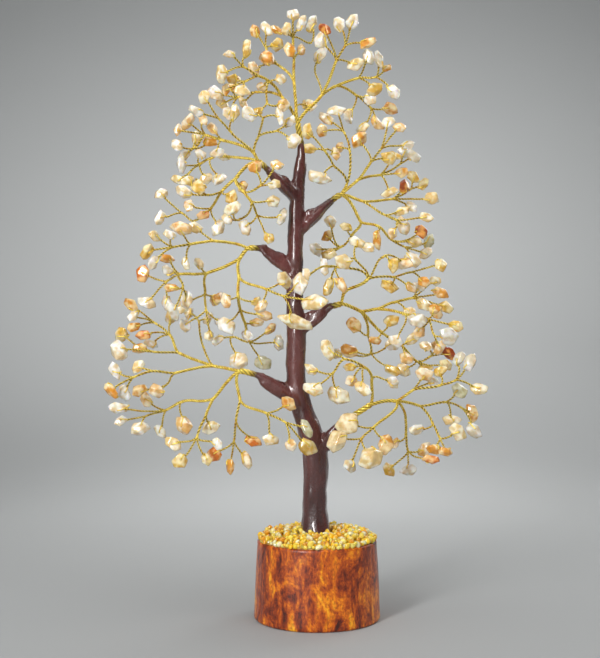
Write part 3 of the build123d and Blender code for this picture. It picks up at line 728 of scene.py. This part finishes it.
def wire_material():
    material, nodes, links, shader = new_material("gold_wire")
    tone = tone_node(nodes)
    patches = noise_node(nodes, links, scale=330, detail=3.0)
    ramp = ramp_node(
        nodes, links, patches.outputs["Fac"], ((0.3, "DCA236"), (0.45, "FFF2C8"), (0.7, "FFFFFF"))
    )
    colour = multiplied(nodes, links, tone.outputs["Color"], ramp.outputs["Color"], 0.7)
    links.new(colour, shader.inputs["Base Color"])
    shader.inputs["Metallic"].default_value = 0.35
    links.new(range_node(nodes, links, patches.outputs["Fac"], 0.18, 0.36), shader.inputs["Roughness"])
    return material


def stone_material(name, clearest):
    """Veined stone under a polish. Clearest is the light that its clearest part lets through."""
    material, nodes, links, shader = new_material(name)
    tone = tone_node(nodes)
    veins = noise_node(nodes, links, scale=620, detail=6.0)
    veins.inputs["Distortion"].default_value = 0.8
    ramp = ramp_node(
        nodes, links, veins.outputs["Fac"], ((0.36, "E0AC5C"), (0.46, "FFFAEC"), (0.56, "FFFFFF"))
    )
    colour = multiplied(nodes, links, tone.outputs["Color"], ramp.outputs["Color"], 0.3)
    links.new(colour, shader.inputs["Base Color"])
    clearness = range_node(nodes, links, tone.outputs["Alpha"], 0.0, clearest)
    links.new(clearness, shader.inputs["Transmission Weight"])
    shader.inputs["IOR"].default_value = 1.5
    shader.inputs["Subsurface Weight"].default_value = 0.45
    shader.inputs["Subsurface Radius"].default_value = (1.0, 0.75, 0.5)
    shader.inputs["Subsurface Scale"].default_value = 1.0 * mm
    shader.inputs["Specular IOR Level"].default_value = 0.5
    links.new(range_node(nodes, links, veins.outputs["Fac"], 0.06, 0.3), shader.inputs["Roughness"])
    shader.inputs["Coat Weight"].default_value = 0.9
    shader.inputs["Coat Roughness"].default_value = 0.05
    bump_node(nodes, links, veins.outputs["Fac"], 0.3 * mm, 0.3, shader)
    return material


def trunk_material():
    material, nodes, links, shader = new_material("trunk_lacquer")
    clouds = noise_node(nodes, links, scale=90, stretch=(1, 1, 0.3))
    ramp = ramp_node(
        nodes, links, clouds.outputs["Fac"], ((0.3, "34120E"), (0.5, "502622"), (0.72, "6E3C38"))
    )
    links.new(ramp.outputs["Color"], shader.inputs["Base Color"])
    fine = noise_node(nodes, links, scale=420, stretch=(1, 1, 0.45), detail=5.0)
    links.new(range_node(nodes, links, fine.outputs["Fac"], 0.16, 0.38), shader.inputs["Roughness"])
    shader.inputs["Coat Weight"].default_value = 1.0
    shader.inputs["Coat Roughness"].default_value = 0.06
    bump_node(nodes, links, fine.outputs["Fac"], 0.9 * mm, 0.6, shader)
    return material


def base_material():
    material, nodes, links, shader = new_material("lacquered_bark")
    blotches = noise_node(nodes, links, scale=105, stretch=(1, 1, 0.55), detail=12.0)
    blotches.inputs["Roughness"].default_value = 0.72
    blotches.inputs["Distortion"].default_value = 0.6
    streaks = noise_node(nodes, links, scale=420, stretch=(1, 1, 0.14), detail=7.0)
    both = nodes.new("ShaderNodeMath")
    both.operation = "MULTIPLY_ADD"
    both.inputs[1].default_value = 0.26
    links.new(streaks.outputs["Fac"], both.inputs[0])
    links.new(blotches.outputs["Fac"], both.inputs[2])
    ramp = ramp_node(
        nodes,
        links,
        both.outputs["Value"],
        ((0.5, "421203"), (0.58, "8E3403"), (0.64, "C05803"), (0.71, "E88403"), (0.8, "FFBC22")),
    )
    flecks = noise_node(nodes, links, scale=900, stretch=(1, 1, 0.7), detail=3.0)
    specks = ramp_node(
        nodes, links, flecks.outputs["Fac"], ((0.38, "8A5038"), (0.52, "F0DCC8"), (0.64, "FFFFFF"))
    )
    colour = multiplied(nodes, links, ramp.outputs["Color"], specks.outputs["Color"], 0.55)
    links.new(colour, shader.inputs["Base Color"])
    shader.inputs["Roughness"].default_value = 0.4
    shader.inputs["Coat Weight"].default_value = 0.3
    shader.inputs["Coat Roughness"].default_value = 0.12
    bump_node(nodes, links, both.outputs["Value"], 0.5 * mm, 0.55, shader)
    return material


def glue_material():
    material, nodes, links, shader = new_material("clear_glue")
    clouds = noise_node(nodes, links, scale=200)
    ramp = ramp_node(nodes, links, clouds.outputs["Fac"], ((0.3, "A87A2A"), (0.7, "D9BE78")))
    links.new(ramp.outputs["Color"], shader.inputs["Base Color"])
    shader.inputs["Roughness"].default_value = 0.2
    return material


gold = wire_material()
quartz = stone_material("tumbled_quartz", 1.0)
grains_look = stone_material("small_chips", 0.5)
lacquer = trunk_material()
bark = base_material()
glue = glue_material()


# Sprays: ropes along the runs, a twisted pair along every twig, and the stones
def strands_in(radius, twig_radius):
    """How many strands show around a run."""
    return 2 if radius < thick_run * twig_radius else 3


def branch_line(branch):
    """The middle line of a branch: it leaves its fork along its parent and swings to its own way."""
    way_in = branch.parent.way if branch.parent else branch.way
    if branch.stone is not None:
        bend = np.array([chance.gauss(0, twig_bend) for _ in range(3)])
        way_out = unit(branch.way + bend)
    elif branch.children:
        way_out = unit(sum(child.way * child.radius for child in branch.children))
    else:
        way_out = branch.way
    line = curve(branch.start, branch.end, way_in, way_out)
    inside = branch.start - way_in * fork_overlap
    return unsteady(np.concatenate([inside[None], line]))


def stained(pile, pivot):
    """Brown from the trunk's coat on the wire next to its mouth."""
    points = np.concatenate(pile.points)
    tones = np.concatenate(pile.tones)
    away = np.linalg.norm(points - pivot, axis=1)
    share = np.clip(stain_start - away / stain_reach, 0, stain_most)[:, None]
    tones[:, :3] = tones[:, :3] * (1 - share) + linear(stain) * share
    pile.tones = [tones]


def dress_spray(joint):
    """The ropes, loops and stones of one spray. It returns the bundle's branch."""
    body = joint["child"]
    first = read_spray(joint)
    branches = branches_from(first)
    twig_radius = min(branch.radius for branch in branches)
    wires = {}
    chips = {}
    bundle = Pile()
    rope(bundle, branch_line(first), first.radius, bundle_strands, bundle_pitch)
    stained(bundle, first.start)
    for branch in branches[1:]:
        pile = wires.setdefault(branch.limb, Pile())
        strands = strands_in(branch.radius, twig_radius)
        pitch = twist_pitch * branch.radius / twig_radius
        line = branch_line(branch)
        stone = branch.stone
        if stone is None:
            rope(pile, line, branch.radius, strands, pitch)
            continue
        chip = Chip(stone.corners)
        twig = branch.way
        thin = chip.normals[np.argmin(chip.heights)]
        flat_thin = thin - (thin @ twig) * twig
        flat_thin = unit(flat_thin) if np.linalg.norm(flat_thin) > 0.2 else across_of(twig)
        loop, mouths = loop_line(chip, twig, flat_thin)
        stop = stone.middle - twig * (chip.radius(-twig[None])[0] + loop_radius)
        line = line[(line - stop) @ twig < 0]
        rope(pile, np.concatenate([line, stop[None]]), branch.radius, strands, pitch)
        side = np.cross(twig, flat_thin)
        pile.add(
            *tube(loop + stone.middle, np.broadcast_to(side, loop.shape), loop_radius),
            np.broadcast_to(np.append(linear(gold_bright), 1), (len(loop) * strand_sides, 4)),
        )
        points, faces = chip.mesh(ball_fine)
        colours = stone_colours(chip, points, tone_of(stone), mouths)
        chips.setdefault(stone.limb, Pile()).add(points + stone.middle, faces, colours)
    name = body.removesuffix("_spray")
    place(bundle.build(f"{name}_rope", gold), body, "wire", f"{name}_bundle")
    for limb, pile in wires.items():
        place(pile.build(f"{limb}_twisted", gold), body, "wire", limb)
    for limb, pile in chips.items():
        place(pile.build(f"{limb}_tumbled", quartz), body, "stone_chips", limb)
    return first


def place(piece, body, slot, node):
    """A piece on its body, in place of a node of the frame."""
    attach(piece, body)
    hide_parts(node)


# Trunk
def merged_mesh(parts):
    """Several parts, each with its points and faces, in one mesh."""
    mesh = bpy.data.meshes.new("parts")
    points = []
    faces = []
    for part_points, part_faces in parts:
        faces.extend([tuple(k + len(points) for k in face) for face in part_faces])
        points.extend(part_points)
    mesh.from_pydata(points, [], faces)
    return mesh


def remeshed(mesh, voxel):
    """One closed skin around overlapping closed parts."""
    holder = bpy.data.objects.new("holder", mesh)
    bpy.context.scene.collection.objects.link(holder)
    modifier = holder.modifiers.new("remesh", "REMESH")
    modifier.mode = "VOXEL"
    modifier.voxel_size = voxel
    bpy.context.view_layer.update()
    skin = bpy.data.meshes.new_from_object(holder.evaluated_get(bpy.context.evaluated_depsgraph_get()))
    bpy.data.objects.remove(holder)
    return skin


def dress_trunk(bundles):
    """The frame's trunk with a plug at its foot, webs above its stubs, lips at their mouths and creases."""
    node = frame["nodes"]["trunk"].data
    points = [tuple(v.co) for v in node.vertices]
    faces = [tuple(p.vertices) for p in node.polygons]
    parts = [(points, faces)]
    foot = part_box("trunk")[0]
    plug_x = (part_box("glue_bed")[0].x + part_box("glue_bed")[1].x) / 2
    plug = np.array([(plug_x, 0, foot.z + plug_low), (plug_x, 0, foot.z + plug_high)])
    plug = evenly(plug, plug_step)[0]
    parts.append(tube(plug, np.broadcast_to(np.array((1.0, 0, 0)), plug.shape), plug_radius, plug_sides))
    axes = [rod_of(points)[:2] for points in solids_of("branch_roots")]
    for low, high in axes:
        if low[2] > high[2]:
            low, high = high, low
        rise = unit(np.cross(np.cross(high - low, (0, 0, 1)), high - low))
        for share, size in crotch_lumps:
            middle = low + (high - low) * share + rise * crotch_rise
            parts.append((ball_coarse[0] * size + middle, ball_coarse[1]))
    for first in bundles:
        out = first.way
        line = np.array([first.start - out * tip_root, first.start, first.start + out * tip_length])
        line = evenly(line, tip_step)[0]
        t = np.linspace(0, 1, len(line))
        mouth = first.radius * mouth_share + mouth_wall
        radii = np.interp(t, (0, 0.6, 1), (mouth * 0.95, mouth * 0.97, first.radius + tip_wall))
        parts.append(tube(line, np.broadcast_to(across_of(out), line.shape), radii, tip_sides))
    skin = remeshed(merged_mesh(parts), trunk_voxel)
    spots = values_of(skin.vertices, "co", 3).astype(float)
    normals = values_of(skin.vertices, "normal", 3).astype(float)
    for first in bundles:
        along = (spots - first.start) @ first.way
        off = spots - first.start - np.outer(along, first.way)
        near = (np.linalg.norm(off, axis=1) < mouth_reach) & (along > -taper_length) & (along < mouth_reach)
        slim = taper_share * np.clip(1 + along / taper_length, 0, 1) * near
        spots -= off * slim[:, None]
    lift = np.array([trunk_lift(spot, axes) for spot in spots])
    spots += normals * lift[:, None]
    skin.vertices.foreach_set("co", spots.astype(np.float32).reshape(-1))
    smooth(skin)
    skin.polygons.foreach_set("use_smooth", [True] * len(skin.polygons))
    skin.materials.clear()
    skin.materials.append(lacquer)
    piece = bpy.data.objects.new("trunk_coat", skin)
    bpy.context.scene.collection.objects.link(piece)
    place(piece, "stand", "trunk_coat", "trunk")


def trunk_lift(spot, axes):
    """How far a spot is lifted by the ridges along the trunk and its stubs, and by soft lumps."""
    ridge = noise.noise(Vector((spot[0] / ridge_width, spot[1] / ridge_width, spot[2] / ridge_length)))
    for low, high in axes:
        axis = high - low
        t = np.clip((spot - low) @ axis / (axis @ axis), 0.25, 1.2)
        off = spot - low - axis * t
        if np.linalg.norm(off) < stub_reach:
            way = unit(axis)
            first = across_of(way)
            second = np.cross(way, first)
            angle = math.atan2(off @ second, off @ first)
            turn = 1.3 * noise.noise(Vector(spot) / stub_wave)
            ridge = 0.8 * math.cos(stub_ridges * angle + turn + spot[2] * 40) - 0.1
            break
    lumps = noise.noise(Vector(spot) / lump_size + Vector((7, 3, 1)))
    return ridge * ridge_height + lumps * lump_height


def smooth(mesh):
    """A mesh's small steps evened out."""
    shape = bmesh.new()
    shape.from_mesh(mesh)
    for _ in range(smoothing_rounds):
        bmesh.ops.smooth_vert(
            shape, verts=shape.verts, factor=0.5, use_axis_x=True, use_axis_y=True, use_axis_z=True
        )
    shape.to_mesh(mesh)
    shape.free()


# Base and gravel
def dress_base():
    """A round slice with rounded edges: rows of a radius, a height and a share of the side's ripple."""
    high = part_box("wood_base")[1]
    foot_radius = high.x
    top_radius = foot_radius - base_taper
    height = high.z
    edge = base_edge
    edge_turns = [math.radians(90 / edge_steps * k) for k in range(edge_steps + 1)]
    profile = [(foot_radius - edge, 0.0, 0)]
    for turn in edge_turns[1:]:
        profile.append((foot_radius - edge + edge * math.sin(turn), edge - edge * math.cos(turn), 0.5))
    for k in range(1, base_levels):
        share = k / base_levels
        radius = foot_radius + (top_radius - foot_radius) * share
        profile.append((radius, edge + (height - 2 * edge) * share, 1))
    for turn in edge_turns:
        radius = top_radius - edge + edge * math.cos(turn)
        profile.append((radius, height - edge + edge * math.sin(turn), 0.6))
    profile.append((top_radius - 3 * edge, height, 0))
    points = []
    for radius, z, weight in profile:
        for k in range(base_rounds):
            angle = 2 * math.pi * k / base_rounds
            x, y = math.cos(angle), math.sin(angle)
            wave = noise.noise(Vector((x * 2.2, y * 2.2, z / (24 * mm))))
            streak = noise.noise(Vector((x * 13, y * 13, z / (16 * mm) + 9)))
            r = radius + weight * base_ripple * (1.1 * wave + 0.55 * streak - 0.5)
            points.append((r * x, r * y, z))
    rows = len(profile)
    faces = []
    for row in range(rows - 1):
        for k in range(base_rounds):
            a = row * base_rounds + k
            b = row * base_rounds + (k + 1) % base_rounds
            faces.append((a, b, b + base_rounds, a + base_rounds))
    faces.append(tuple(reversed(range(base_rounds))))
    faces.append(tuple((rows - 1) * base_rounds + k for k in range(base_rounds)))
    pile = Pile()
    pile.add(np.array(points), faces)
    place(pile.build("bark_base", bark), "stand", "base_wood", "wood_base")


def turned_axes():
    """Three unit axes that are square to one another, turned anyhow."""
    long = unit(np.array([chance.gauss(0, 1) for _ in range(3)]))
    wide = across_of(long)
    return np.array((long, wide, np.cross(long, wide)))


def add_grain(pile, middle):
    """A small chip of a chance size, shape, direction and tone."""
    size = grain_size / 2 * chance.uniform(0.65, 1.4)
    corners = np.array([point * chance.uniform(0.6, 1) for point in ball_corners])
    chip = Chip(corners * grain_shape @ turned_axes() * size)
    points, faces = chip.mesh(ball_coarse)
    tone = np.append(linear(chance.choice(grain_tones)) * chance.uniform(0.85, 1.1), chance.random() * 0.4)
    pile.add(points + np.array(middle), faces, np.broadcast_to(tone, (len(points), 4)))


def dress_gravel():
    """A heap of small chips around the trunk's foot, laid in spirals, with a ring of them at its rim."""
    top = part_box("glue_bed")[1].z
    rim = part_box("wood_base")[1].x - gravel_inset
    golden_turn = math.pi * (3 - math.sqrt(5))
    pile = Pile()
    for layer, (share, rise, part) in enumerate(heap_layers):
        count = int((rim * share / grain_spacing) ** 2 * part)
        for k in range(count):
            ring = rim * share * math.sqrt((k + 0.5) / count)
            angle = k * golden_turn + layer * 1.7
            x = ring * math.cos(angle) + chance.gauss(0, 0.3) * mm
            y = ring * math.sin(angle) + chance.gauss(0, 0.3) * mm
            if trunk_foot < math.hypot(x, y) < rim:
                add_grain(pile, (x, y, top + rise + chance.gauss(0, 0.15) * mm))
    for k in range(rim_grains):
        angle = 2 * math.pi * (k + chance.uniform(-0.3, 0.3)) / rim_grains
        ring = rim - chance.uniform(0.2, 0.8) * mm
        z = base_top + chance.uniform(0.6, 1.3) * mm
        add_grain(pile, (ring * math.cos(angle), ring * math.sin(angle), z))
    place(pile.build("glued_chips", grains_look), "stand", "base_chips", "gravel")


def dress_hidden():
    """The frame's own pieces that stay: glue under the chips, and wire inside the coat."""
    for node, look in (("glue_bed", glue), ("trunk_core", gold), ("branch_roots", gold)):
        mesh = frame["nodes"][node].data
        mesh.materials.clear()
        mesh.materials.append(look)


# Stage, light and camera
def build_stage():
    """A pale floor that curves up into a wall all round."""
    floor_radius = 0.45
    bend = 0.95
    wall = 1.3
    profile = [(0.3, 0.0), (floor_radius, 0.0)]
    for k in range(1, 13):
        turn = math.radians(7.5 * k)
        profile.append((floor_radius + bend * math.sin(turn), bend - bend * math.cos(turn)))
    profile.append((floor_radius + bend, wall))
    rounds = 96
    points = [(0.0, 0.0, 0.0)]
    for radius, z in profile:
        for k in range(rounds):
            angle = 2 * math.pi * k / rounds
            points.append((radius * math.cos(angle), radius * math.sin(angle), z))
    faces = [(0, 1 + k, 1 + (k + 1) % rounds) for k in range(rounds)]
    for row in range(len(profile) - 1):
        for k in range(rounds):
            a = 1 + row * rounds + k
            b = 1 + row * rounds + (k + 1) % rounds
            faces.append((a, a + rounds, b + rounds, b))
    material, _, _, shader = new_material("pale_floor")
    shader.inputs["Base Color"].default_value = (0.36, 0.368, 0.366, 1)
    shader.inputs["Roughness"].default_value = 0.9
    pile = Pile()
    pile.add(np.array(points), faces)
    pile.build("floor", material)


def soft_light(name, spot, aim, size, power, spread=180, mirrored=False):
    """A softbox of a width and height that faces a point. It shows in reflections where mirrored."""
    light = bpy.data.lights.new(name, "AREA")
    light.shape = "RECTANGLE"
    light.size = size[0]
    light.size_y = size[1]
    light.energy = power
    light.spread = math.radians(spread)
    holder = bpy.data.objects.new(name, light)
    bpy.context.scene.collection.objects.link(holder)
    holder.location = spot
    holder.rotation_euler = (Vector(aim) - Vector(spot)).to_track_quat("-Z", "Y").to_euler()
    holder.visible_camera = False
    holder.visible_glossy = mirrored


def build_lights():
    """Four softboxes on the tree, one on the wall and one on the floor behind it, in an even room."""
    middle = (0, 0, 0.14)
    soft_light("key", (-0.45, -0.74, 0.5), middle, size=(0.14, 0.7), power=7.6, mirrored=True)
    soft_light("fill", (0.6, -0.55, 0.35), middle, size=(0.5, 0.6), power=2.0)
    soft_light("top", (0.0, -0.1, 0.9), middle, size=(0.5, 0.5), power=1.6, mirrored=True)
    soft_light("rim", (0.4, 0.45, 0.5), middle, size=(0.3, 0.4), power=1.2, mirrored=True)
    soft_light("wall", (0.0, 0.2, 1.1), (0, 1.1, 0.2), size=(0.3, 0.3), power=2.1, spread=66)
    soft_light("floor", (0.0, 0.42, 0.55), (0, 0.36, 0), size=(0.2, 0.2), power=0.3, spread=64)
    world = bpy.data.worlds.new("soft_room")
    world.use_nodes = True
    world.node_tree.nodes["Background"].inputs["Color"].default_value = (0.97, 0.98, 1.0, 1)
    world.node_tree.nodes["Background"].inputs["Strength"].default_value = 0.42
    bpy.context.scene.world = world
    bpy.context.scene.view_settings.view_transform = "Standard"


def build_camera():
    """A level camera that frames the picture's height."""
    lens = bpy.data.cameras.new("view")
    lens.sensor_fit = "VERTICAL"
    lens.sensor_height = sensor
    lens.lens = sensor * view_distance / (picture_height_px * pixel)
    lens.clip_start = 0.01
    holder = bpy.data.objects.new("view", lens)
    bpy.context.scene.collection.objects.link(holder)
    holder.location = camera_place
    holder.rotation_euler = (math.radians(90), 0, 0)
    bpy.context.scene.camera = holder


bundles = [dress_spray(joint) for joint in frame["joints"]]
dress_trunk(bundles)
dress_base()
dress_gravel()
dress_hidden()
build_stage()
build_lights()
build_camera()
